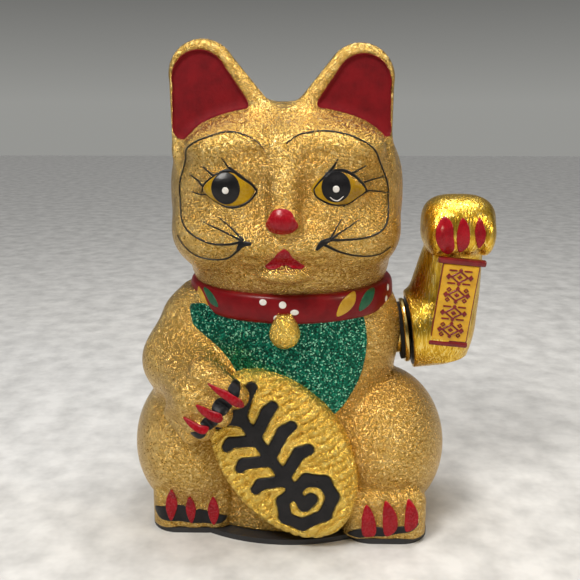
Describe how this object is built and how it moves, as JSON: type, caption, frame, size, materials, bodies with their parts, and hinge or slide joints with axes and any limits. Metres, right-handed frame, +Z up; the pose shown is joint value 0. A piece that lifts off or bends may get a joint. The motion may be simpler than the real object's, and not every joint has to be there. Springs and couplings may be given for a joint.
{
  "type": "beckoning cat figurine",
  "caption": "Seated gold ceramic cat with a collar and bell, one paw on an oval coin and the other raised on a battery-driven waving arm, standing on a black base plate.",
  "frame": {"origin": "middle of the resting face, on the underside of the base plate", "axes": "+Z up; the cat faces -Y; its raised left arm is on the +X side"},
  "size_m": [0.2002, 0.1397, 0.26],
  "materials": {
    "ceramic_gold": "gold paint with a fine crackle over glaze",
    "arm_gold": "gold electroplated look",
    "bezel_gold": "polished gold plating",
    "black_foam": "matte",
    "black_plastic": "fine matte texture",
    "white_plastic": "satin",
    "red_yellow_plaque": "printed gloss",
    "steel": "zinc plated",
    "brass": "satin",
    "magnet": "nickel plated",
    "cast_weight": "raw",
    "copper_wire": "enamelled copper",
    "cell_can": "printed sleeve",
    "board": "phenolic board",
    "wire_red": "insulation",
    "wire_black": "insulation",
    "resistor_body": "lacquer with colour bands"
  },
  "bodies": {
    "cat": {"body_shell": "ceramic_gold", "shoulder_washer": "black_foam", "shoulder_bezel": "bezel_gold", "mechanism_frame": "white_plastic", "outer_bush": "brass", "inner_bush": "brass", "coil_bobbin": "black_plastic", "coil_winding": "copper_wire", "coil_core": "steel", "base_plate": "black_plastic", "clamp_bar_front": "white_plastic", "clamp_bar_back": "white_plastic", "contact_bridge": "steel", "contact_positive": "steel", "contact_negative": "steel", "circuit_board": "board", "transistor": "black_plastic", "capacitor": "wire_black", "switch_body": "black_plastic", "battery_wire_red": "wire_red", "battery_wire_black": "wire_black", "frame_screw_1": "steel", "base_screw_1": "steel", "frame_screw_2": "steel", "base_screw_2": "steel", "frame_screw_3": "steel", "base_screw_3": "steel", "frame_screw_4": "steel", "base_screw_4": "steel", "board_screw_1": "steel", "battery_cell_1": "cell_can", "cell_spring_1": "steel", "resistor_1": "resistor_body", "coil_lead_1": "copper_wire", "board_screw_2": "steel", "battery_cell_2": "cell_can", "cell_spring_2": "steel", "resistor_2": "resistor_body", "coil_lead_2": "copper_wire"},
    "waving_arm": {"arm_shell_front": "arm_gold", "arm_shell_back": "arm_gold", "arm_plug": "black_plastic", "arm_plaque": "red_yellow_plaque", "pendulum_lever": "white_plastic", "pivot_pin": "steel", "magnet": "magnet", "counterweight": "cast_weight", "counterweight_screw": "steel"},
    "battery_door": {"battery_door": "black_plastic"},
    "switch_slider": {"switch_slider": "white_plastic"}
  },
  "joints": [
    {"name": "arm_wave", "type": "hinge", "parent": "cat", "child": "waving_arm", "pos_m": [0.0625, 0, 0.1], "axis": [0.9936, 0, 0.1132], "range_deg": [-25, 25]},
    {"name": "battery_door_hinge", "type": "hinge", "parent": "cat", "child": "battery_door", "pos_m": [-0.027, -0.0308, 0.0015], "axis": [-1, 0, 0], "range_deg": [0, 100]},
    {"name": "power_switch", "type": "slide", "parent": "cat", "child": "switch_slider", "axis": [1, 0, 0], "range_m": [0, 0.0025]}
  ]
}
